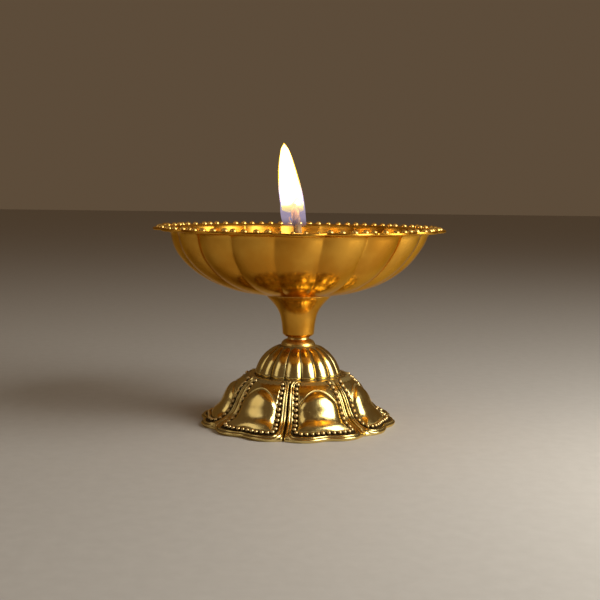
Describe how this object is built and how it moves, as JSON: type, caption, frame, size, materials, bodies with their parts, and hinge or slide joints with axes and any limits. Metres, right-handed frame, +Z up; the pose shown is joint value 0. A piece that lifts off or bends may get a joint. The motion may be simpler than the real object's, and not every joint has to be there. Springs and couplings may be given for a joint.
{
  "type": "brass oil lamp",
  "caption": "Footed brass oil lamp: fluted bowl with a beaded scalloped lip on a trumpet stem, over a fluted dome and a petalled foot, with a lit cotton wick in oil",
  "frame": {"origin": "middle of the foot's underside, on the surface the lamp stands on", "axes": "+Z up along the stem, -Y towards the front of the lamp, +X to the right seen from the front"},
  "size_m": [0.0792, 0.08, 0.0769],
  "materials": {
    "polished_brass": "polished yellow brass, hand buffed, with fine scratches and small pits",
    "antiqued_brass": "polished yellow brass on the high parts, dark brown patina in the recesses",
    "turned_brass": "turned brass, satin",
    "braze": "pale lumpy braze",
    "lamp_oil": "clear golden lamp oil",
    "cotton": "twisted raw cotton soaked in oil, charred at the tip",
    "flame": "glowing yellow white flame, blue and clear at its foot"
  },
  "bodies": {
    "base": {"petal_skirt": "antiqued_brass", "fluted_dome": "antiqued_brass", "dome_braze_ring": "braze", "base_bush": "turned_brass"},
    "collar": {"neck_collar": "turned_brass"},
    "cup": {"threaded_stud": "turned_brass", "stem": "polished_brass", "stem_braze_ring": "braze", "bowl": "polished_brass", "oil": "lamp_oil"},
    "wick": {"wick_base": "cotton", "wick": "cotton", "flame": "flame"}
  },
  "joints": [
    {"name": "cup_rise", "type": "slide", "parent": "base", "child": "collar", "axis": [0, 0, 1], "range_m": [0, 0.005]},
    {"name": "cup_turn", "type": "hinge", "parent": "collar", "child": "cup", "pos_m": [0, 0, 0.024], "axis": [0, 0, 1], "range_deg": [0, 1800]},
    {"name": "wick_lift", "type": "slide", "parent": "cup", "child": "wick", "axis": [0, 0, 1], "range_m": [0, 0.022]}
  ],
  "couplings": [
    {"joint": "cup_rise", "follows": "cup_turn", "m_per_rad": 0.00015915}
  ]
}
